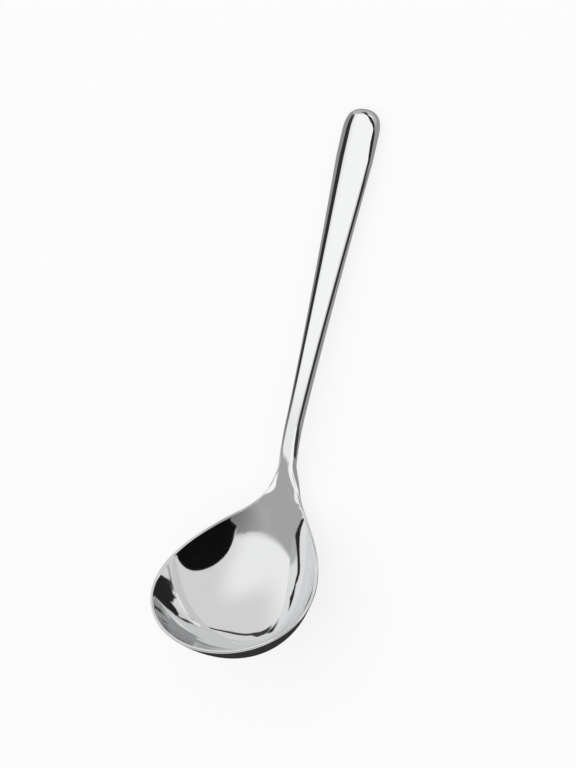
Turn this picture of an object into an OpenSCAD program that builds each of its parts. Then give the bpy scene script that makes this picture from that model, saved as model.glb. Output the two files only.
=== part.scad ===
// Sauce ladle: a pressed bowl with a forged neck and tang, on a hollow handle of two welded shells.
// Millimetres, +Z up, lying on a table: the bowl and the underside of the handle's end touch z = 0.
// +X runs from the bowl to the handle's end, and the ladle is symmetric about y = 0.

/* [Bowl] */
// Width of the hollow across the rim
bowl_w = 57; // [50:1:64]
// Length of the hollow, from where the neck flares to the far lip
bowl_l = 72; // [66:1:80]
// Depth of the hollow below the rim plane
bowl_depth = 20; // [16:0.5:24]
// Where the bowl is widest and deepest, as a share of its length
deep_at = 0.65; // [0.6:0.01:0.68]
// How steeply the wall meets the rim: 2 is a shallow dish, 4 a pan
wall_power = 2.9; // [2.4:0.1:3.6]
// Sheet thickness of the bowl
sheet = 1.2; // [1:0.1:1.6]

/* [Neck] */
// Length of the plain stem between the handle's joint and the flare
stem_l = 12; // [8:0.5:18]
// Width of the stem
neck_w = 5.7; // [5:0.1:7]
// Thickness of the stem
neck_t = 5.4; // [5:0.1:6.6]
// Steepest slope of the neck above the rim plane, degrees
neck_slope = 56; // [50:1:62]
// Radius where the rim turns up into the neck
crease_r = 11; // [8:0.5:14]
// Radius where the neck turns over into the handle
crown_r = 65; // [50:1:80]
// Softness of the flare from the neck into the rim
flare_soft = 0.3; // [0.16:0.02:0.44]
// Fullness of the rim beside the neck: 1 is slender
flare_power = 0.8; // [0.7:0.02:0.96]
// Share of the bowl's back wall over which the flare thins to sheet
neck_fade = 0.16; // [0.12:0.02:0.4]

/* [Handle] */
// Slope of the handle above the rim plane, degrees
handle_slope = 34.5; // [30:0.5:39]
// Length from the joint at the stem to the end
handle_l = 110; // [96:1:126]
// Greatest width, near the end
handle_w = 13.6; // [11:0.2:15]
// Greatest thickness, at the end
handle_t = 5.6; // [5.2:0.1:6.6]
// Where the handle is widest, as a share of its length
widest_at = 0.84; // [0.78:0.01:0.88]
// Curve of the taper: 1 is straight
taper_power = 1.35; // [1:0.05:1.7]
// How soon the handle thins away from the neck: 1 is evenly
thin_power = 5; // [2:0.5:8]
// Length of the rounding at the end
tip_l = 8.8; // [7:0.2:11]
// Squareness of the end: 2 is an ellipse
tip_power = 2.5; // [2:0.1:3]
// Squareness of the handle's cross-section: 2 is an ellipse
section_power = 2.8; // [2.2:0.1:3.4]
// Wall of each shell
shell_wall = 0.8; // [0.6:0.05:0.9]

/* [Joints] */
// Length of the tang inside the handle
tang_l = 26; // [18:1:34]
// Clearance between the tang and the handle's mouth
tang_clear = 0.1; // [0.05:0.05:0.2]
// Width of the weld ring at the neck
neck_weld_w = 0.6; // [0.4:0.1:1]
// Half the opening of the seam's V groove, in degrees round the section
seam_groove = 6; // [4:1:10]
// Share of the shell wall that meets face to face below the groove
seam_land = 0.4; // [0.3:0.05:0.6]

/* [Hidden] */
steel = [0.80, 0.81, 0.82];
weld_metal = [0.72, 0.73, 0.74];
filler = [0.52, 0.50, 0.46];
// Mesh counts: across the bowl, along its back and front, round half a section, along the handle, at its end
across = 24;
back_steps = 30;
front_steps = 14;
half_ring = 16;
shaft_steps = 12;
tip_steps = 9;

// A point on a squared ellipse of half sizes hw and hh
function squircle(a, hw, hh) =
    let (e = 2 / section_power)
    [hw * sign(cos(a)) * pow(abs(cos(a)), e), hh * sign(sin(a)) * pow(abs(sin(a)), e)];
// A curve from 0 to 1 that starts level, more so for a large k
function ease(q, k) = (1 + k) * q * q / (q + k);
function smooth(q) = let (c = max(0, min(1, q))) c * c * (3 - 2 * c);
function mix(a, b, q) = a * (1 - q) + b * q;
// Two triangles for a four-sided patch, split along one diagonal or the other
function patch(a, b, c, d, turned) = turned ? [[a, b, d], [b, c, d]] : [[a, b, c], [a, c, d]];

// Top line in side view: level rim, an arc up into the neck, and an arc over into the handle at x = 0
crown_start = -crown_r * (sin(neck_slope) - sin(handle_slope));
crown_z = crease_r * (1 - cos(neck_slope));
crease_start = crown_start - crease_r * sin(neck_slope);
function top_slope(x) =
    x <= crease_start ? 0 :
    x < crown_start ? asin((x - crease_start) / crease_r) :
    asin(sin(neck_slope) - (x - crown_start) / crown_r);
function top_z(x) =
    x < crown_start ? crease_r * (1 - cos(top_slope(x))) :
    crown_z + crown_r * (cos(top_slope(x)) - cos(neck_slope));

// Keel of the hollow: leaves the top line where the neck is steepest and ends level at the deepest place
neck_z = top_z(0);
function sunk(x) = max(0, (crown_start - x) / (crown_start + deep_x));
function back_keel(x) =
    let (q = sunk(x), r = 1 - q)
    x > crown_start ? top_z(x) :
    r * r * r * crown_z + 3 * r * r * q * (crown_z - tan(neck_slope) * (crown_start + deep_x) / 3)
        - (3 * r * q * q + q * q * q) * bowl_depth;

// Bowl stations, each [x, half width, level, keel, share of the way from the flare to the deepest place]
// The level is 0 where the bowl is deepest and 1 at the rim
deep_x = stem_l + bowl_l * deep_at;
front_l = bowl_l * (1 - deep_at);
back_stations = [for (i = [0 : back_steps])
    let (x = -deep_x * pow(i / back_steps, 1.2), q = max(0, -x - stem_l) / (deep_x - stem_l))
    [x,
     neck_w / 2 + (bowl_w - neck_w) / 2 * pow(sin(90 * ease(q, flare_soft)), flare_power),
     1 - sunk(x),
     back_keel(x),
     q]];
front_stations = [for (i = [1 : front_steps - 1])
    let (r = sin(90 * i / front_steps))
    [-deep_x - r * front_l, bowl_w / 2 * sqrt(1 - r * r), r, -bowl_depth * (1 - pow(r, wall_power)), 1]];
stations = concat(back_stations, front_stations);
last = len(stations) - 1;

// Share of the depth reached at place v across a station, from 0 at the rim to 1 on the keel
function depth_share(level, v) =
    level > 0.999 ? 1 - v * v :
    (1 - pow(level * level + (1 - level * level) * v * v, wall_power / 2)) / (1 - pow(level, wall_power));
function side_share(j) = sin(90 * (2 * j / across - 1));
inside = [for (s = stations) [for (j = [0 : across])
    let (v = side_share(j))
    [s[0], s[1] * v, mix(top_z(s[0]), s[3], depth_share(s[2], v))]]];
far_lip = [-stem_l - bowl_l, 0, 0];
far_slope = [-wall_power * bowl_depth, 0, -front_l];
far_normal = far_slope / norm(far_slope);

// Downward normal of the hollow at station i, place j across
function along(i, j) = (i == last ? far_lip : inside[i + 1][j]) - inside[max(i - 1, 0)][j];
function sideways(i, j) = inside[i][min(j + 1, across)] - inside[i][max(j - 1, 0)];
function normal(i, j) = let (c = cross(along(i, j), sideways(i, j))) c / norm(c);
// Metal thickness: the stem thins to sheet down the back wall
function metal(q) = mix(neck_t, sheet, smooth(q / neck_fade));
// The stem's squared section turns into the bowl's shell over this share of the back wall
neck_share = 0.23;
function neck_point(s, j, side) =
    let (p = squircle(174 - 168 * j / across, s[1], neck_t / 2), g = top_slope(s[0]))
    let (z = side * p[1] - neck_t / 2)
    [s[0] - z * sin(g), p[0], top_z(s[0]) + z * cos(g)];
function skin(i, j, side) =
    let (s = stations[i])
    mix(neck_point(s, j, side),
        side > 0 ? inside[i][j] : inside[i][j] + metal(s[4]) * normal(i, j),
        smooth(s[4] / neck_share));
upper = [for (i = [0 : last]) [for (j = [0 : across]) skin(i, j, 1)]];
lower = [for (i = [0 : last]) [for (j = [0 : across]) skin(i, j, -1)]];
under_lip = far_lip + sheet * far_normal;

// Handle stations, each [place along, place of the inner wall, width share, thickness share]
mouth = neck_weld_w;
tip_start = handle_l - tip_l;
function end_share(s) =
    let (c = max(0, (s - handle_l + handle_t / 2) / (handle_t / 2)))
    sqrt(1 - 0.8 * min(1, c * c));
function shaft(s, w) =
    [s, mouth + (s - mouth) * (handle_l - shell_wall - mouth) / (handle_l - mouth), w, end_share(s)];
handle_stations = concat(
    [for (i = [0 : shaft_steps - 1]) shaft(mouth + (tip_start - mouth) * i / shaft_steps, 1)],
    [for (i = [0 : tip_steps])
        let (c = sin(86 * i / tip_steps))
        shaft(tip_start + tip_l * c / sin(86), pow(1 - pow(c, tip_power), 1 / tip_power))]);
tip = len(handle_stations) - 1;
function base_w(s) =
    (neck_w + (handle_w - neck_w) * pow(min(1, s / (widest_at * handle_l)), taper_power)) / 2;
function base_t(s) = mix(handle_t, neck_t, pow(1 - s / handle_l, thin_power)) / 2;
function outer_at(k, a) =
    let (h = handle_stations[k], p = squircle(a, base_w(h[0]) * h[2], base_t(h[0]) * h[3]))
    [h[0], p[0], p[1]];
function inner_at(k, a) =
    let (h = handle_stations[k])
    let (p = squircle(a, (base_w(h[0]) - shell_wall) * h[2], (base_t(h[0]) - shell_wall) * h[3]))
    [h[1], p[0], p[1]];
function land_at(k, a) = mix(inner_at(k, a), outer_at(k, a), seam_land);

// Resting pose: the tilt at which the bowl's keel and the handle's underside reach the same level
neck_joint = [neck_t / 2 * sin(handle_slope), 0, neck_z - neck_t / 2 * cos(handle_slope)];
function from_handle(p) =
    neck_joint + [p[0] * cos(handle_slope) - p[2] * sin(handle_slope), p[1],
                  p[0] * sin(handle_slope) + p[2] * cos(handle_slope)];
function tilted(p, t) = [p[0] * cos(t) + p[2] * sin(t), p[1], p[2] * cos(t) - p[0] * sin(t)];
keel = concat([for (i = [0 : last]) lower[i][across / 2]], [under_lip, far_lip]);
underside = [for (k = [0 : tip]) from_handle(outer_at(k, -90))];
topside = [for (k = [0 : tip]) from_handle(outer_at(k, 90))];
function lowest(pts, t) = min([for (p = pts) tilted(p, t)[2]]);
function rest_angle(lo, hi, n) =
    let (m = (lo + hi) / 2)
    n == 0 ? m :
    lowest(underside, m) > lowest(keel, m) ? rest_angle(m, hi, n - 1) : rest_angle(lo, m, n - 1);
rest = rest_angle(0, 70, 40);
reach = [for (p = concat(keel, underside, topside)) tilted(p, rest)[0]];
rest_shift = [-(min(reach) + max(reach)) / 2, 0, -lowest(keel, rest)];

module at_rest() {
    translate(rest_shift) rotate([0, rest, 0]) children();
}

module in_handle() {
    at_rest() translate(neck_joint) rotate([0, -handle_slope, 0]) children();
}

// Extrudes a drawing of the handle's cross-section along the handle
module along_handle(from, to) {
    translate([from, 0, 0]) rotate([90, 0, 90]) linear_extrude(to - from) children();
}

module tang_section() {
    hw = neck_w / 2 - shell_wall - tang_clear;
    hh = neck_t / 2 - shell_wall - tang_clear;
    polygon([for (a = [0 : 15 : 345]) squircle(a, hw, hh)]);
}

// Lofted shell from the neck's section to the far lip
module bowl_shell() {
    ring = 2 * (across + 1);
    rings = [for (i = [0 : last]) concat(upper[i], [for (j = [across : -1 : 0]) lower[i][j]])];
    points = concat([for (r = rings) each r], [far_lip, under_lip]);
    top_end = ring * (last + 1);
    low_end = top_end + 1;
    base = ring * last;
    sides = [for (i = [0 : last - 1], j = [0 : ring - 1])
        let (n = (j + 1) % ring, a = ring * i, b = ring * (i + 1))
        each patch(a + j, b + j, b + n, a + n, j % (across + 1) < across / 2)];
    hollow_end = [for (j = [0 : across - 1]) [base + j + 1, base + j, top_end]];
    under_end = [for (j = [across + 1 : ring - 2]) [base + j + 1, base + j, low_end]];
    lips = concat(patch(top_end, low_end, base + across + 1, base + across, true),
                  patch(low_end, top_end, base, base + ring - 1, false));
    mouth_face = [[for (j = [0 : ring - 1]) j]];
    polyhedron(points, concat(sides, hollow_end, under_end, lips, mouth_face), convexity = 6);
}

module bowl() {
    color(steel) {
        at_rest() bowl_shell();
        in_handle() along_handle(-2, tang_l) tang_section();
    }
}

// One pressed half of the handle; side is 1 for the front and -1 for the back
module handle_shell(side) {
    n = half_ring;
    ring = 2 * n + 4;
    points = [for (k = [0 : tip]) each concat(
        [for (i = [0 : n]) outer_at(k, side * (seam_groove + (180 - 2 * seam_groove) * i / n))],
        [land_at(k, side * 180)],
        [for (i = [n : -1 : 0]) inner_at(k, side * 180 * i / n)],
        [land_at(k, 0)])];
    land_l = n + 1;
    land_r = ring - 1;
    end = ring * tip;
    sides = [for (k = [0 : tip - 1], j = [0 : ring - 1])
        let (m = (j + 1) % ring, a = ring * k, b = ring * (k + 1))
        each patch(a + j, b + j, b + m, a + m, j % (n + 2) < n / 2)];
    mouth_face = concat(
        [for (i = [0 : n - 1]) each patch(i, i + 1, 2 * n + 1 - i, 2 * n + 2 - i, i < n / 2)],
        [[n, land_l, n + 2], [land_r, 0, 2 * n + 2]]);
    tip_face = concat(
        [[for (i = [n : -1 : 0]) end + i]],
        [[for (i = [2 * n + 2 : -1 : n + 2]) end + i]],
        patch(end + n, end, end + land_r, end + land_l, true),
        patch(end + land_l, end + land_r, end + 2 * n + 2, end + n + 2, true));
    faces = concat(sides, mouth_face, tip_face);
    polyhedron(points, side > 0 ? faces : [for (f = faces) [for (i = [len(f) - 1 : -1 : 0]) f[i]]],
               convexity = 6);
}

module handle_front() {
    color(steel) in_handle() handle_shell(1);
}

module handle_back() {
    color(steel) in_handle() handle_shell(-1);
}

// Bead that runs up one side of the seam, round the end and down the other side
module seam_weld() {
    function bead(k, mid, turn) =
        let (half = turn * seam_groove)
        [land_at(k, mid), outer_at(k, mid + half), outer_at(k, mid), outer_at(k, mid - half)];
    sections = concat(
        [for (k = [0 : tip]) bead(k, 0, 1)],
        [for (k = [tip : -1 : 0]) bead(k, 180, -1)]);
    count = len(sections);
    points = [for (s = sections) each s];
    sides = [for (k = [0 : count - 2], j = [0 : 3])
        let (m = (j + 1) % 4, a = 4 * k, b = 4 * (k + 1))
        each patch(a + j, a + m, b + m, b + j, k < count / 2)];
    e = 4 * (count - 1);
    color(weld_metal) in_handle()
        polyhedron(points, concat(sides, [[3, 2, 1, 0]], [[e, e + 1, e + 2, e + 3]]), convexity = 6);
}

module neck_weld() {
    color(weld_metal) in_handle() along_handle(0, neck_weld_w) difference() {
        polygon([for (a = [0 : 7.5 : 352.5]) squircle(a, neck_w / 2, neck_t / 2)]);
        tang_section();
    }
}

// Filler between the tang and the inside of the shells
module tang_cement() {
    n = half_ring;
    ring = 2 * n;
    beyond = [for (k = [0 : tip]) if (handle_stations[k][1] > tang_l + 1) k][0];
    points = [for (k = [0 : beyond]) each [for (i = [0 : ring - 1]) inner_at(k, 180 * i / n)]];
    sides = [for (k = [0 : beyond - 1], j = [0 : ring - 1])
        let (m = (j + 1) % ring, a = ring * k, b = ring * (k + 1))
        each patch(a + j, b + j, b + m, a + m, j % n < n / 2)];
    ends = [[for (i = [0 : ring - 1]) i], [for (i = [ring - 1 : -1 : 0]) ring * beyond + i]];
    color(filler) in_handle() difference() {
        polyhedron(points, concat(sides, ends), convexity = 4);
        along_handle(-1, tang_l) tang_section();
    }
}

bowl();
handle_front();
handle_back();
seam_weld();
neck_weld();
tang_cement();
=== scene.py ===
import math

import bpy
from mathutils import Matrix, Vector


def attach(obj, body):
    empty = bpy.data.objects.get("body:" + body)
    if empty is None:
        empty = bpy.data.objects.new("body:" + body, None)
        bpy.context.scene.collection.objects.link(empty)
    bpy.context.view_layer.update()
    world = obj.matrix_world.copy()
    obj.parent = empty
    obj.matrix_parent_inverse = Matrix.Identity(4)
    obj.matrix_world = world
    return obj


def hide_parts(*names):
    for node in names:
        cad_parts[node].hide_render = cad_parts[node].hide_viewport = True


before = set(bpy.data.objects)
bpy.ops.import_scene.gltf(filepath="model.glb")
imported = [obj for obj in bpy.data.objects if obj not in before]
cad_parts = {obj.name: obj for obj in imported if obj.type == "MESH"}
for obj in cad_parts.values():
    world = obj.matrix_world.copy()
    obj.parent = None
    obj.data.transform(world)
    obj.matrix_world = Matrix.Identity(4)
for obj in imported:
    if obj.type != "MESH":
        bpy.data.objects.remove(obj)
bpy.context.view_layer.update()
print("frame loaded")

mm = 0.001


def sinD(a):
    return math.sin(math.radians(a))


def cosD(a):
    return math.cos(math.radians(a))


def mix(a, b, q):
    return a * (1 - q) + b * q


def clamp(q):
    return max(0.0, min(1.0, q))


def smooth(q):
    c = clamp(q)
    return c * c * (3 - 2 * c)


def signedPower(base, power):
    return math.copysign(abs(base) ** power, base)


def heading(azimuth, elevation):
    out = cosD(elevation)
    return Vector((out * cosD(azimuth), out * sinD(azimuth), sinD(elevation)))


def deselectAll():
    if bpy.context.object and bpy.context.object.mode != "OBJECT":
        bpy.ops.object.mode_set(mode="OBJECT")
    bpy.ops.object.select_all(action="DESELECT")


def newGrid(name, rows, columns):
    deselectAll()
    bpy.ops.mesh.primitive_grid_add(x_subdivisions=rows, y_subdivisions=columns, size=1)
    obj = bpy.context.object
    obj.name = name
    obj.data.name = name
    return obj


skin = dict(seamGap=2e-6, sliver=1e-6, smoothAngle=50)


# merges the seams of a wrapped grid, closes its open ring and shades it
def closeSkin():
    bpy.ops.object.mode_set(mode="EDIT")
    bpy.ops.mesh.select_all(action="SELECT")
    bpy.ops.mesh.remove_doubles(threshold=skin["seamGap"])
    bpy.ops.mesh.dissolve_degenerate(threshold=skin["sliver"])
    bpy.ops.mesh.select_all(action="DESELECT")
    bpy.ops.mesh.select_mode(type="EDGE")
    bpy.ops.mesh.select_non_manifold(extend=False, use_wire=False, use_boundary=True, use_multi_face=False,
                                     use_non_contiguous=False, use_verts=False)
    bpy.ops.mesh.edge_face_add()
    bpy.ops.mesh.select_all(action="SELECT")
    bpy.ops.mesh.normals_make_consistent(inside=False)
    bpy.ops.mesh.select_mode(type="VERT")
    bpy.ops.object.mode_set(mode="OBJECT")
    bpy.ops.object.shade_smooth_by_angle(angle=math.radians(skin["smoothAngle"]))


# a closed piece: a grid whose vertex in row i and column j goes to place(i, j)
def wrapGrid(name, rows, columns, place):
    obj = newGrid(name, rows, columns)
    for v in obj.data.vertices:
        v.co = place(round((v.co.x + 0.5) * rows), round((v.co.y + 0.5) * columns))
    closeSkin()
    return obj


# the stem between bowl and handle; lengths are in millimetres, before the ladle is laid on the table
neck = dict(stem=12, width=5.7, thick=5.4, slope=56, endSlope=34.5, creaseR=11, crownR=65, fade=0.16,
            share=0.23, sectionPower=2.8, sideSweep=84)
rest = dict(tilt=36.4876, shiftX=-26.3127, shiftZ=-8.527)


def squircle(angle, halfWide, halfHigh):
    power = 2 / neck["sectionPower"]
    return halfWide * signedPower(cosD(angle), power), halfHigh * signedPower(sinD(angle), power)


def layDown(p):
    c, s = cosD(rest["tilt"]), sinD(rest["tilt"])
    return Vector((p.x * c + p.z * s + rest["shiftX"], p.y, p.z * c - p.x * s + rest["shiftZ"])) * mm


# bowl: pressed sheet that thickens into the stem
bowl = dict(width=57, length=72, depth=20, deepAt=0.65, wallPower=2.9, sheet=1.16, flareSoft=0.3,
            flarePower=0.8, rimRound=0.55, rimShare=0.12, rowPower=1.2, backRows=110, frontRows=90,
            wallRows=40, wallSweep=78, rimRows=6)
# small steps for slopes, and how near counts as on the keel or as level
probe = dict(turn=0.004, out=0.01, rim=0.04, keel=0.001, level=0.9995)

# top line in side view: level rim, arc up into the neck, arc over into the handle
crownStart = -neck["crownR"] * (sinD(neck["slope"]) - sinD(neck["endSlope"]))
crownZ = neck["creaseR"] * (1 - cosD(neck["slope"]))
creaseStart = crownStart - neck["creaseR"] * sinD(neck["slope"])
deepX = neck["stem"] + bowl["length"] * bowl["deepAt"]
frontLength = bowl["length"] * (1 - bowl["deepAt"])


def topSlope(x):
    if x <= creaseStart:
        return 0.0
    if x < crownStart:
        return math.degrees(math.asin((x - creaseStart) / neck["creaseR"]))
    return math.degrees(math.asin(sinD(neck["slope"]) - (x - crownStart) / neck["crownR"]))


def topZ(x):
    if x < crownStart:
        return neck["creaseR"] * (1 - cosD(topSlope(x)))
    return crownZ + neck["crownR"] * (cosD(topSlope(x)) - cosD(neck["slope"]))


def sunk(x):
    return max(0.0, (crownStart - x) / (crownStart + deepX))


def backKeel(x):
    if x > crownStart:
        return topZ(x)
    q = sunk(x)
    r = 1 - q
    pull = crownZ - math.tan(math.radians(neck["slope"])) * (crownStart + deepX) / 3
    return r ** 3 * crownZ + 3 * r * r * q * pull - (3 * r * q * q + q ** 3) * bowl["depth"]


def flareShare(x):
    return max(0.0, -x - neck["stem"]) / (deepX - neck["stem"])


def halfWidth(x):
    q = flareShare(x)
    eased = (1 + bowl["flareSoft"]) * q * q / (q + bowl["flareSoft"])
    grown = sinD(90 * min(1.0, eased)) ** bowl["flarePower"]
    return neck["width"] / 2 + (bowl["width"] - neck["width"]) / 2 * grown


def depthShare(level, v):
    if level > probe["level"]:
        return 1 - v * v
    p = bowl["wallPower"]
    return (1 - (level * level + (1 - level * level) * v * v) ** (p / 2)) / (1 - level ** p)


def backX(turn):
    return -deepX * (2 - abs(turn)) ** bowl["rowPower"]


# the hollow, by lines that run down one side, round the far lip and back up the other side:
# turn is the place along such a line, out is 0 on the keel and 1 at the rim
def hollowPoint(turn, out):
    if abs(turn) <= 1:
        a = 90 * turn
        x = -deepX - out * frontLength * cosD(a)
        y = out * bowl["width"] / 2 * sinD(a)
        return Vector((x, y, -bowl["depth"] * (1 - out ** bowl["wallPower"])))
    x = backX(turn)
    z = mix(topZ(x), backKeel(x), depthShare(1 - sunk(x), out))
    return Vector((x, math.copysign(halfWidth(x) * out, turn), z))


def hollowNormal(turn, out):
    ahead = hollowPoint(min(turn + probe["turn"], 2.0), out)
    along = ahead - hollowPoint(max(turn - probe["turn"], -2.0), out)
    if out < probe["keel"]:     # the keel lies in the middle plane
        if abs(turn) <= 1:
            return Vector((0, 0, -1))
        return Vector((math.copysign(along.z, turn * along.z), 0, -abs(along.x))).normalized()
    outer = hollowPoint(turn, min(out + probe["out"], 1.0))
    across = outer - hollowPoint(turn, max(out - probe["out"], 0.0))
    return across.cross(along).normalized()


# a point of the hollow and the one under it, blended into the stem's section at the neck
def skinPair(turn, out):
    upper = hollowPoint(turn, out)
    x = backX(turn) if abs(turn) > 1 else -deepX
    q = flareShare(x)
    metal = mix(neck["thick"], bowl["sheet"], smooth(q / neck["fade"]))
    lower = upper + metal * hollowNormal(turn, out)
    blend = smooth(q / neck["share"])
    if abs(turn) > 1 and blend < 1:
        angle = 90 - neck["sideSweep"] * math.degrees(math.asin(out)) / 90
        y, h = squircle(angle, halfWidth(x), neck["thick"] / 2)
        g = topSlope(x)
        pair = []
        for side, skinPoint in ((1, upper), (-1, lower)):
            drop = side * h - neck["thick"] / 2
            stem = Vector((x - drop * sinD(g), math.copysign(y, turn), topZ(x) + drop * cosD(g)))
            pair.append(stem.lerp(skinPoint, blend))
        upper, lower = pair
    return upper, lower


# a grid wrapped from the hollow's keel over the rounded rim to the keel of the underside
def makeBowl():
    sweep = bowl["wallSweep"]
    wallRows = bowl["wallRows"]
    wall = [sinD(sweep * i / wallRows) / sinD(sweep) for i in range(wallRows)]
    bend = [90 * i / bowl["rimRows"] for i in range(bowl["rimRows"] + 1)]
    back = [i / bowl["backRows"] for i in range(bowl["backRows"] + 1)]
    turns = [-2 + q for q in back[:-1]]
    turns += [-1 + 2 * i / bowl["frontRows"] for i in range(bowl["frontRows"])]
    turns += [1 + q for q in back]
    rings = []
    for turn in turns:
        edge = (hollowPoint(turn, 1) - hollowPoint(turn, 1 - probe["rim"])).length / probe["rim"]
        bead = min(bowl["rimRound"], bowl["rimShare"] * edge)
        start = 1 - bead / edge
        pairs = [skinPair(turn, w * start) for w in wall]
        for b in bend:
            upper, lower = skinPair(turn, 1 - (1 - start) * (1 - sinD(b)))
            middle = (upper + lower) / 2
            pairs.append((middle.lerp(upper, cosD(b)), middle.lerp(lower, cosD(b))))
        ring = [p[0] for p in pairs] + [p[1] for p in reversed(pairs[:-1])]
        rings.append([layDown(p) for p in ring])
    return wrapGrid("bowlSteel", len(rings) - 1, len(rings[0]) - 1, lambda i, j: rings[i][j])


# handle: one skin round the two welded shells, from the stem to the rounded end
handle = dict(length=110, width=13.6, thick=5.6, widestAt=0.84, taperPower=1.35, thinPower=5, endRound=0.98,
              tipLength=8.8, tipPower=2.5, shaftRows=120, shaftPower=1.15, tipRows=40, around=128)
neckJoint = Vector((neck["thick"] / 2 * sinD(neck["endSlope"]), 0,
                    topZ(0) - neck["thick"] / 2 * cosD(neck["endSlope"])))


def handlePoint(s, narrow, angle):
    length = handle["length"]
    halfThick = handle["thick"] / 2
    grown = min(1.0, s / (handle["widestAt"] * length)) ** handle["taperPower"]
    wide = mix(neck["width"], handle["width"], grown)
    thick = mix(handle["thick"], neck["thick"], max(0.0, 1 - s / length) ** handle["thinPower"])
    near = max(0.0, (s - length + halfThick) / halfThick)
    thick *= math.sqrt(max(0.0, 1 - handle["endRound"] * min(1.0, near * near)))
    y, z = squircle(angle, wide / 2 * narrow, thick / 2)
    c, k = cosD(neck["endSlope"]), sinD(neck["endSlope"])
    return neckJoint + Vector((s * c - z * k, y, s * k + z * c))


def makeHandle():
    shaft = handle["length"] - handle["tipLength"]
    power = handle["tipPower"]
    around = handle["around"]
    stations = []
    for i in range(handle["shaftRows"]):
        stations.append((shaft * (i / handle["shaftRows"]) ** handle["shaftPower"], 1.0))
    for i in range(handle["tipRows"] + 1):
        c = sinD(90 * i / handle["tipRows"])
        stations.append((shaft + handle["tipLength"] * c, max(0.0, 1 - c ** power) ** (1 / power)))

    def place(i, j):
        s, narrow = stations[i]
        return layDown(handlePoint(s, narrow, 360 * j / around))
    return wrapGrid("handleSteel", len(stations) - 1, around, place)


steelBowl = makeBowl()
steelHandle = makeHandle()
print("bowl", len(steelBowl.data.polygons), "handle", len(steelHandle.data.polygons))


# camera at the photo's viewing angle: aimed at a point over the table, turned so that the handle points up
view = dict(target=(0, 0, 0.01), distance=0.9, azimuth=-93.942, elevation=62.556, roll=-74.589,
            pixelsPerMetre=2926, centre=(298.682, 380.444), picture=(576, 768), sensor=36, clipStart=0.01)


def addCamera():
    back = heading(view["azimuth"], view["elevation"])
    right = Vector((0, 0, 1)).cross(back).normalized()
    up = back.cross(right)
    c, s = cosD(view["roll"]), sinD(view["roll"])
    deselectAll()
    bpy.ops.object.camera_add()
    camera = bpy.context.object
    camera.name = "ladleCamera"
    camera.matrix_world = Matrix((c * right + s * up, c * up - s * right, back)).transposed().to_4x4()
    camera.location = Vector(view["target"]) + view["distance"] * back
    wide, high = view["picture"]
    camera.data.sensor_width = view["sensor"]
    camera.data.lens = view["pixelsPerMetre"] * view["distance"] / high * view["sensor"]
    camera.data.shift_x = -(view["centre"][0] - wide / 2) / high
    camera.data.shift_y = -(high / 2 - view["centre"][1]) / high
    camera.data.clip_start = view["clipStart"]
    bpy.context.scene.camera = camera


addCamera()
print("camera placed")


# a socket takes a value, or a link from another socket
def feed(tree, socket, value):
    if isinstance(value, bpy.types.NodeSocket):
        tree.links.new(value, socket)
    else:
        socket.default_value = value


def feedAll(tree, node, values):
    for name, value in values.items():
        feed(tree, node.inputs[name], value)


def addNode(tree, kind, **values):
    node = tree.nodes.new(kind)
    feedAll(tree, node, values)
    return node


def maths(tree, kind, *values):
    node = tree.nodes.new("ShaderNodeMath")
    node.operation = kind
    for socket, value in zip(node.inputs, values):
        feed(tree, socket, value)
    return node.outputs["Value"]


def mixSurface(tree, share, under, over):
    mixed = tree.nodes.new("ShaderNodeMixShader")
    for socket, value in zip(mixed.inputs, (share, under, over)):
        feed(tree, socket, value)
    tree.links.new(mixed.outputs["Shader"], tree.nodes["Material Output"].inputs["Surface"])


def newMaterial(name):
    material = bpy.data.materials.new(name)
    material.use_nodes = True
    return material, material.node_tree


# steel: fine polishing lines that show more in patches, and the slight waviness of polished sheet
polish = dict(lines=dict(stretch=(0.05, 1, 1), scale=2600, detail=2),       # along the ladle
              patches=dict(stretch=(1, 1, 1), scale=55, detail=3),          # where the lines show more
              wave=dict(stretch=(0.5, 1, 1), scale=60, detail=1),           # slow waviness
              middle=0.5, leastRough=0.01, lineRelief=0.02)
steelLook = dict(colour=(0.86, 0.865, 0.87, 1), waviness=0.25, relief=0.00006)
bowlLook = dict(roughness=0.045, lines=0.06)
handleLook = dict(roughness=0.05, lines=0.08)


def makePolishMarks():
    group = bpy.data.node_groups.new("polishMarks", "ShaderNodeTree")
    face = group.interface
    face.new_socket("Vector", in_out="INPUT", socket_type="NodeSocketVector")
    for name in ("Roughness", "Lines", "Waviness"):
        face.new_socket(name, in_out="INPUT", socket_type="NodeSocketFloat")
    for name in ("Roughness", "Height"):
        face.new_socket(name, in_out="OUTPUT", socket_type="NodeSocketFloat")
    entry = group.nodes.new("NodeGroupInput").outputs
    leave = group.nodes.new("NodeGroupOutput")

    def noise(stretch, scale, detail):
        place = addNode(group, "ShaderNodeMapping", Vector=entry["Vector"], Scale=stretch)
        cloud = addNode(group, "ShaderNodeTexNoise", Vector=place.outputs["Vector"], Scale=scale,
                        Detail=detail)
        return cloud.outputs["Fac"]

    brushed = maths(group, "SUBTRACT", noise(**polish["lines"]), polish["middle"])
    lines = maths(group, "MULTIPLY", brushed, noise(**polish["patches"]))
    rough = maths(group, "ADD", entry["Roughness"], maths(group, "MULTIPLY", lines, entry["Lines"]))
    wave = maths(group, "MULTIPLY", noise(**polish["wave"]), entry["Waviness"])
    height = maths(group, "ADD", wave, maths(group, "MULTIPLY", lines, polish["lineRelief"]))
    rough = maths(group, "MAXIMUM", rough, polish["leastRough"])
    feedAll(group, leave, {"Roughness": rough, "Height": height})
    return group


polishMarks = makePolishMarks()


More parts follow.
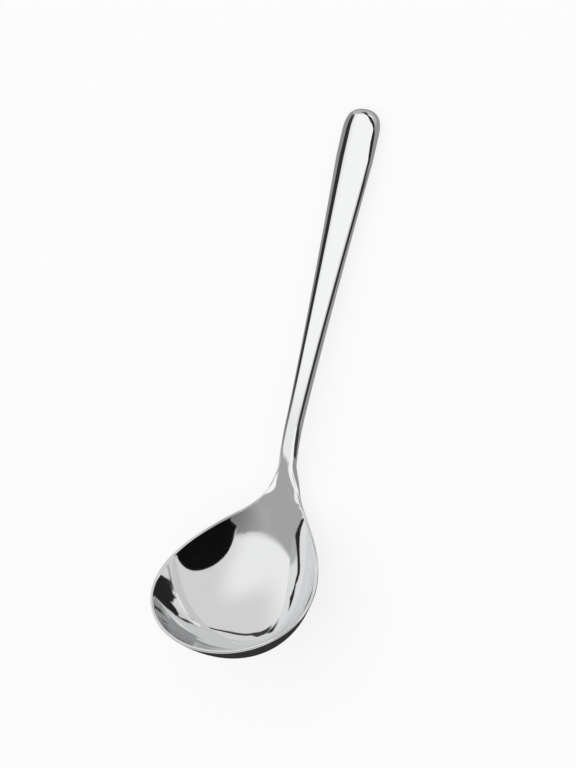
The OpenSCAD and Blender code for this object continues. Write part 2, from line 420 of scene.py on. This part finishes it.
def makeSteel(name, roughness, lines):
    steel, tree = newMaterial(name)
    place = tree.nodes.new("ShaderNodeTexCoord")
    marks = tree.nodes.new("ShaderNodeGroup")
    marks.node_tree = polishMarks
    feedAll(tree, marks, {"Vector": place.outputs["Object"], "Roughness": roughness, "Lines": lines,
                          "Waviness": steelLook["waviness"]})
    bump = addNode(tree, "ShaderNodeBump", Strength=1.0, Distance=steelLook["relief"],
                   Height=marks.outputs["Height"])
    feedAll(tree, tree.nodes["Principled BSDF"], {"Base Color": steelLook["colour"], "Metallic": 1.0,
                                                  "Roughness": marks.outputs["Roughness"],
                                                  "Normal": bump.outputs["Normal"]})
    return steel


def dress(obj, material, slotName, *nodes):
    obj.data.materials.clear()
    obj.data.materials.append(material)
    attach(obj, "root")
    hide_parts(*nodes)


dress(steelBowl, makeSteel("bowlSteel", **bowlLook), "polished_steel", "bowl")
dress(steelHandle, makeSteel("handleSteel", **handleLook), "polished_steel",
      "handle_front", "handle_back", "seam_weld", "neck_weld")

# the cement inside the handle: grey, gritty and matt
cementLook = dict(grain=1800, detail=4, dark=(0.16, 0.15, 0.13, 1), pale=(0.34, 0.32, 0.28, 1), roughness=0.9,
                  relief=0.0001)


def makeCement():
    cement, tree = newMaterial("tangCement")
    place = tree.nodes.new("ShaderNodeTexCoord")
    grit = addNode(tree, "ShaderNodeTexNoise", Vector=place.outputs["Object"], Scale=cementLook["grain"],
                   Detail=cementLook["detail"]).outputs["Fac"]
    shades = addNode(tree, "ShaderNodeValToRGB", Fac=grit)
    for stop, shade in zip(shades.color_ramp.elements, ("dark", "pale")):
        stop.color = cementLook[shade]
    bump = addNode(tree, "ShaderNodeBump", Distance=cementLook["relief"], Height=grit)
    feedAll(tree, tree.nodes["Principled BSDF"], {"Base Color": shades.outputs["Color"],
                                                  "Roughness": cementLook["roughness"],
                                                  "Normal": bump.outputs["Normal"]})
    return cement


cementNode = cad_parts["tang_cement"]
cementNode.data.materials.clear()
cementNode.data.materials.append(makeCement())
print("materials set")


# pale floor that keeps the ladle's soft shadow, under an even white light
floorLook = dict(size=4, drop=0.0002, colour=(0.94, 0.94, 0.94, 1), roughness=0.9, glow=0.8)
studio = dict(colour=(1, 1, 1, 1), strength=0.93)


def makeFloor():
    deselectAll()
    bpy.ops.mesh.primitive_plane_add(size=floorLook["size"], location=(0, 0, -floorLook["drop"]))
    floor = bpy.context.object
    floor.name = "paleFloor"
    paint, tree = newMaterial("paleFloor")
    matt = tree.nodes["Principled BSDF"]
    feedAll(tree, matt, {"Base Color": floorLook["colour"], "Roughness": floorLook["roughness"],
                         "Specular IOR Level": 0.0})
    glow = tree.nodes.new("ShaderNodeEmission")
    path = tree.nodes.new("ShaderNodeLightPath").outputs
    seen = maths(tree, "MAXIMUM", path["Is Camera Ray"], path["Is Glossy Ray"])
    seen = maths(tree, "MAXIMUM", seen, path["Is Transmission Ray"])
    share = maths(tree, "MULTIPLY", seen, floorLook["glow"])
    mixSurface(tree, share, matt.outputs["BSDF"], glow.outputs["Emission"])
    floor.data.materials.append(paint)


def lightWorld():
    world = bpy.data.worlds.new("studio")
    bpy.context.scene.world = world
    world.use_nodes = True
    sky = world.node_tree.nodes["Background"]
    feedAll(world.node_tree, sky, {"Color": studio["colour"], "Strength": studio["strength"]})


makeFloor()
lightWorld()
print("floor and light set")


# studio flags that only the polished steel sees. With reach, only steel nearer than that sees a flag; with
# bounce, it shows only from the first to the last of those reflections; with steep, not along its face
def flagMaterial(name, tone, reach=None, bounce=None, steep=None):
    paint, tree = newMaterial(name)
    tree.nodes.remove(tree.nodes["Principled BSDF"])
    glow = addNode(tree, "ShaderNodeEmission", Color=(tone, tone, tone, 1))
    clear = tree.nodes.new("ShaderNodeBsdfTransparent")
    layout = tree.nodes.new("ShaderNodeUVMap")
    layout.uv_map = "fade"
    solid = addNode(tree, "ShaderNodeSeparateXYZ", Vector=layout.outputs["UV"]).outputs["X"]
    path = tree.nodes.new("ShaderNodeLightPath").outputs
    tests = []
    if reach:
        tests.append(maths(tree, "LESS_THAN", path["Ray Length"], reach))
    if bounce:
        first, last = bounce
        tests.append(maths(tree, "COMPARE", path["Ray Depth"], (first + last) / 2, (last - first + 1) / 2))
    if steep:
        facing = addNode(tree, "ShaderNodeLayerWeight", Blend=0.5).outputs["Facing"]
        tests.append(maths(tree, "LESS_THAN", facing, 1 - steep))
    for test in tests:
        solid = maths(tree, "MULTIPLY", test, solid)
    mixSurface(tree, solid, clear.outputs["BSDF"], glow.outputs["Emission"])
    return paint


def fadeAt(q, fade):
    low, high = fade
    solid = smooth(q / low) if low else 1.0
    return solid * smooth((1 - q) / high) if high else solid


# a flag laid out by place(u, v), with its edges faded over a share of its width and height
def makeFlag(name, place, tone, fadeU=(0, 0), fadeV=(0, 0), rows=24, columns=12, **limits):
    flag = newGrid(name, rows, columns)
    layout = flag.data.uv_layers.new(name="fade")
    spots = [(v.co.x + 0.5, v.co.y + 0.5) for v in flag.data.vertices]
    for loop in flag.data.loops:
        u, v = spots[loop.vertex_index]
        layout.data[loop.index].uv = (fadeAt(u, fadeU) * fadeAt(v, fadeV), 0)
    for vertex, (u, v) in zip(flag.data.vertices, spots):
        vertex.co = place(u, v)
    flag.data.materials.append(flagMaterial(name, tone, **limits))
    flag.visible_camera = False
    flag.visible_diffuse = False
    flag.visible_transmission = False
    flag.visible_shadow = False


# part of a dome, between two edges that are lines over the azimuth
def domePlace(azimuths, lowest, highest, radius, middle=(0, 0, 0)):
    def place(u, v):
        a = mix(*azimuths, u)
        return Vector(middle) + heading(a, mix(lowest(a), highest(a), v)) * radius
    return place


# four corners in a plane: the two ends of the first edge, then those of the second
def quadPlace(corners, point):
    low, lowEnd, high, highEnd = (Vector(c) for c in corners)

    def place(u, v):
        return point(*low.lerp(lowEnd, u).lerp(high.lerp(highEnd, u), v))
    return place


def sheetPlace(*corners, height):
    return quadPlace(corners, lambda x, y: Vector((x, y, height)))


def standPlace(*corners, across):
    return quadPlace(corners, lambda x, z: Vector((x, across, z)))


def box(xs, ys):
    return [(x, y) for y in ys for x in xs]


# an upright disc with squared sides, sheared by lean
def roundPlace(middle, half, lean, power):
    def place(u, v):
        x = half[0] * v * signedPower(cosD(360 * u), 2 / power)
        z = half[1] * v * signedPower(sinD(360 * u), 2 / power)
        return Vector(middle) + Vector((x + lean * z, 0, z))
    return place


# an upright wall through points that give x, foot and top
def wallPlace(*points, across):
    def place(u, v):
        last = len(points) - 1
        k = min(int(u * last), last - 1)
        x, low, high = (mix(a, b, u * last - k) for a, b in zip(points[k], points[k + 1]))
        return Vector((x, across, mix(low, high, v)))
    return place


arcStep = 0.05      # how far before and after a point the arc's direction is taken


# a strip along a path of directions (azimuth and elevation) round one point
def arcPlace(*path, middle, radius, half):
    heads = [heading(a, e) for a, e in path]

    def head(u):
        u = clamp(u) * (len(heads) - 1)
        k = min(int(u), len(heads) - 2)
        return heads[k].lerp(heads[k + 1], u - k).normalized()

    def place(u, v):
        side = head(u).cross(head(u + arcStep) - head(u - arcStep)).normalized()
        return Vector(middle) + radius * (head(u) + mix(-half, half, v) * side)
    return place


def level(e):
    return lambda a: e


# a line through a few points, for an edge that rises and falls
def profile(*points):
    def value(q):
        for (q0, v0), (q1, v1) in zip(points, points[1:]):
            if q <= q1:
                return mix(v0, v1, max(0.0, (q - q0) / (q1 - q0)))
        return points[-1][1]
    return value


# a level sheet whose far edge follows a line
def ceilingPlace(height, start, edge, across):
    def place(u, v):
        y = mix(*across, u)
        return Vector((mix(start, edge(y), v), y, height))
    return place


# middles that flags stand round, and how far from them
hollowMiddle = (-0.06, 0.005, 0.005)
lipMiddle = (-0.087, 0, 0.015)
endMiddle = (0.0935, -0.003, 0.005)
far = dict(side=1.5, lowWall=1.4, grey=1.35, dark=1.3, endGrey=0.031, endDark=0.03)
# heights of the sheets on the table, and where the walls beside the handle stand
sheets = dict(bowl=0.0001, soft=0.00012, grey=0.00015, dark=0.0002, white=0.00025)
walls = dict(left=0.03, leftGrey=0.0305, neck=-0.0295, right=-0.03, rise=-0.0302, riseGrey=-0.0306)
# how near steel has to be to see a small flag
reaches = dict(card=0.018, grey=0.024, slope=0.034, neckSide=0.05, end=0.05, handle=0.055, shade=0.07,
               light=0.072, neckWhite=0.1, rise=0.11)
# reflections in which a flag shows
once = (1, 1)
twice = (2, 2)
thrice = (3, 3)
later = (3, 8)

# over the bowl: a grey ceiling beyond its lip and a black door on the camera's side
ceilingEdge = profile((-1.2, -0.16), (-0.25, -0.122), (-0.166, -0.108), (-0.127, -0.099), (-0.07, -0.091),
                      (0, -0.0855), (0.0755, -0.08), (0.2, -0.072), (1.2, -0.046))
makeFlag("greyCeiling", ceilingPlace(height=0.18, start=-0.9, edge=ceilingEdge, across=(-1.2, 1.2)),
         tone=0.41, fadeV=(0, 0.022), rows=120, columns=200, bounce=once)
doorTone = 0.004
doorBack = -0.161
doorShoulder = ((-0.14, 0.118), (-0.08, 0.118))
makeFlag("blackDoor", roundPlace(middle=(-0.0775, -0.16, 0.0974), half=(0.036, 0.075), lean=-0.235,
                                 power=2.3),
         tone=doorTone, rows=96)
makeFlag("doorSide", standPlace((-0.095, 0.03), (-0.06, 0.03), *doorShoulder, across=doorBack),
         tone=doorTone)
makeFlag("doorTop", standPlace(*doorShoulder, (-0.121, 0.157), (-0.09, 0.157), across=doorBack),
         tone=doorTone)

# near cards over the slope to the neck and beside it, and a pale side and a dark low wall far off
slopeEdge = profile((-0.0118, -0.0612), (-0.0066, -0.061), (-0.006, -0.0618), (-0.0052, -0.0627),
                    (-0.0041, -0.0617), (-0.0028, -0.061), (-0.0018, -0.0601), (-0.0004, -0.0596),
                    (0.0028, -0.0589), (0.009, -0.0593))
for name, height, tone, fade in (("slopeGrey", 0.024, 0.46, 0.2), ("slopeDark", 0.0239, 0.2, 1)):
    makeFlag(name, ceilingPlace(height, start=-0.046, edge=slopeEdge, across=(-0.0118, 0.009)), tone,
             fadeU=(0, fade), fadeV=(0.2, 0.04), rows=84, columns=40, reach=reaches["slope"], bounce=once,
             steep=0.49)
makeFlag("neckCard", standPlace((-0.0345, 0.0085), (-0.047, 0.0085), (-0.0345, 0.0125), (-0.047, 0.0165),
                                across=0.012),
         tone=1.05, fadeU=(0.1, 0.1), fadeV=(0, 0.1), reach=reaches["card"], bounce=once)
makeFlag("neckGrey", sheetPlace(*box((-0.037, -0.054), (0.004, 0.024)), height=0.02),
         tone=0.41, fadeU=(0.05, 0.2), fadeV=(0.1, 0.1), reach=reaches["grey"], bounce=once)
makeFlag("paleSide", domePlace((-125, 80), level(0), level(70), far["side"]),
         tone=0.72, fadeU=(0.12, 0.25), fadeV=(0, 0.5), rows=60, columns=40)
lowFoot = profile((-6, -3), (5, 2.8), (11, 6.3), (21, 9.4), (28, 10.4), (33, 9), (38, 2.5), (52, 1))
lowTop = profile((-6, 0.5), (5, 6), (11, 9.5), (21, 12.6), (28, 13.6), (33, 12.7), (38, 10.8), (52, 10.8))
makeFlag("lowWall", domePlace((-6, 52), lowFoot, lowTop, far["lowWall"], lipMiddle),
         tone=0.05, fadeU=(0.1, 0.1), fadeV=(0.1, 0.1), rows=116, bounce=once)

# cards that the hollow mirrors a second or a later time, for the patches and lines near its rim
bandFoot = profile((24, 64.2), (45, 65.2), (63, 67.2), (72, 67.4), (80, 61), (87, 56.5), (93, 57), (100, 59),
                   (110, 60), (141, 60))
bandTop = profile((24, 76), (47, 75.2), (66, 73.3), (80, 71), (88, 67.3), (141, 67.3))
makeFlag("innerBand", domePlace((24, 141), bandFoot, bandTop, far["dark"], hollowMiddle),
         tone=0.02, fadeU=(0.03, 0.04), fadeV=(0.06, 0.06), rows=117, columns=24, bounce=twice)
sideFoot = profile((-66, 2), (-48, 5), (-43, 9), (-41, 14), (-39.5, 36), (-36, 50))
makeFlag("innerSide", domePlace((-66, -36), sideFoot, level(76), far["dark"], hollowMiddle),
         tone=0.02, fadeV=(0.05, 0), rows=60, columns=40, bounce=twice)
makeFlag("innerShade", sheetPlace((-0.05, -0.06), (0.012, -0.06), (-0.05, 0.014), (-0.002, 0.014),
                                  height=0.1),
         tone=0.02, fadeU=(0, 0.04), fadeV=(0, 0.08), rows=30, columns=30, bounce=twice)
makeFlag("patchLight", sheetPlace(*box((-0.058, -0.0398), (0.004, 0.022)), height=0.0995),
         tone=0.85, fadeU=(0, 0.15), bounce=twice)
makeFlag("innerLine", arcPlace((-44, 10), (-40, 14), (-37, 19), (-35, 26), (-32, 33), (-28, 37), (-22, 38),
                               middle=hollowMiddle, radius=far["dark"], half=0.04),
         tone=0.05, fadeU=(0, 0.15), fadeV=(0.2, 0.2), rows=60, bounce=twice)
makeFlag("innerGrey", domePlace((104, 152), level(62), level(86), far["grey"], hollowMiddle),
         tone=0.53, fadeU=(0.35, 0), rows=48, bounce=twice)
makeFlag("streak", domePlace((-53, -38), level(40.5), level(48), far["dark"], hollowMiddle),
         tone=0.02, fadeU=(0, 0.3), fadeV=(0.15, 0.15), bounce=thrice)
makeFlag("deepGrey", domePlace((-64, 8), level(-12), level(62), far["grey"], hollowMiddle),
         tone=0.4, fadeU=(0, 0.35), fadeV=(0, 0.1), rows=72, columns=40, bounce=later)

# on the table: a wide grey sheet on the handle's side, and the shade under the bowl
makeFlag("tableSoft", sheetPlace(*box((-0.06, 1.45), (-1.45, 1.2)), height=sheets["soft"]),
         tone=0.62, fadeU=(0.03, 0), rows=60, columns=60, bounce=once)
makeFlag("bowlShade", sheetPlace(*box((-0.15, -0.035), (-0.07, 0.05)), height=sheets["bowl"]),
         tone=0.035, fadeU=(0.15, 0.02), fadeV=(0.15, 0.15), columns=24)

# along the handle and neck: a white light over them, sheets on the table and walls close by
makeFlag("handleLight", sheetPlace(*box((-0.015, 0.15), (-0.07, 0.036)), height=0.052),
         tone=1.04, fadeU=(0.15, 0), fadeV=(0.2, 0.05), reach=reaches["light"])
makeFlag("tableShade", sheetPlace((-0.012, -0.2), (0.078, -0.2), (-0.012, -0.0113), (0.078, -0.0088),
                                  height=sheets["dark"]),
         tone=0.035, fadeU=(0, 0.08), fadeV=(0.3, 0.004), columns=250, reach=reaches["shade"])
makeFlag("neckShade", sheetPlace((-0.0268, -0.03), (-0.012, -0.03), (-0.0268, -0.004), (-0.012, -0.0113),
                                 height=sheets["dark"]),
         tone=0.05, fadeU=(0.06, 0), fadeV=(0.2, 0.02), columns=100, reach=reaches["shade"])
makeFlag("neckWhite", sheetPlace((-0.045, -0.12), (-0.012, -0.12), (-0.045, -0.0105), (-0.0265, -0.0105),
                                 height=sheets["white"]),
         tone=1.03, fadeU=(0, 0.05), fadeV=(0, 0.03), columns=60, reach=reaches["neckWhite"], bounce=once)
makeFlag("tableGrey", sheetPlace(*box((-0.05, 0.13), (-0.05, 0.03)), height=sheets["grey"]),
         tone=0.33, fadeU=(0.05, 0), reach=reaches["handle"])
makeFlag("leftBlack", standPlace((-0.034, 0.003), (0.115, 0.024), (-0.034, 0.04), (0.115, 0.041),
                                 across=walls["left"]),
         tone=0.03, fadeU=(0.28, 0.09), fadeV=(0.15, 0.12), columns=24, reach=reaches["handle"])
makeFlag("leftGrey", standPlace((-0.034, 0), (0.115, 0), (-0.034, 0.034), (0.115, 0.026),
                                across=walls["leftGrey"]),
         tone=0.32, fadeU=(0.06, 0), fadeV=(0, 0.15), reach=reaches["handle"])
makeFlag("neckSide", wallPlace((-0.05, 0.0005, 0.06), (-0.0262, 0.0005, 0.06), (-0.0252, 0.0105, 0.06),
                               (-0.02, 0.0165, 0.06), (-0.015, 0.021, 0.06), across=walls["neck"]),
         tone=1.03, fadeU=(0.05, 0.02), rows=40, reach=reaches["neckSide"], bounce=once)
makeFlag("rightBlack", wallPlace((-0.0258, 0, 0.008), (-0.02, 0, 0.0155), (-0.014, 0, 0.0195),
                                 (0.07, 0, 0.012), across=walls["right"]),
         tone=0.035, fadeU=(0.03, 0), fadeV=(0, 0.2), rows=30, columns=24, reach=reaches["handle"])

# round the handle's end: the dark strip climbs, turns over the corner and stops at the middle, grey below it
makeFlag("rightRise", wallPlace((0.06, 0, 0.012), (0.072, -0.002, 0.016), (0.083, 0, 0.025),
                                (0.092, 0.012, 0.046), (0.104, 0.034, 0.083), (0.126, 0.05, 0.12),
                                across=walls["rise"]),
         tone=0.02, fadeU=(0.02, 0), fadeV=(0.1, 0.15), rows=40, columns=24, reach=reaches["rise"])
makeFlag("riseGrey", wallPlace((0.06, 0, 0.001), (0.083, 0, 0.006), (0.104, 0, 0.04), (0.126, 0, 0.06),
                               across=walls["riseGrey"]),
         tone=0.33, rows=40, reach=reaches["rise"])
makeFlag("endBlack", arcPlace((-74, 44), (-60, 58), (-40, 64), (-10, 69), (14, 67), (25, 51), (27, 30),
                              (27, 15), middle=endMiddle, radius=far["endDark"], half=0.15),
         tone=0.02, fadeU=(0, 0.1), fadeV=(0.2, 0.2), rows=56, columns=16, reach=reaches["end"])
makeFlag("endGrey", domePlace((-70, 60), level(-25), level(48), far["endGrey"], endMiddle),
         tone=0.5, fadeV=(0, 0.1), rows=40, columns=16, reach=reaches["end"])
print("stage set")

bpy.context.scene.view_settings.view_transform = "Standard"
bpy.context.scene.cycles.glossy_bounces = 8      # a deep bowl mirrors itself many times
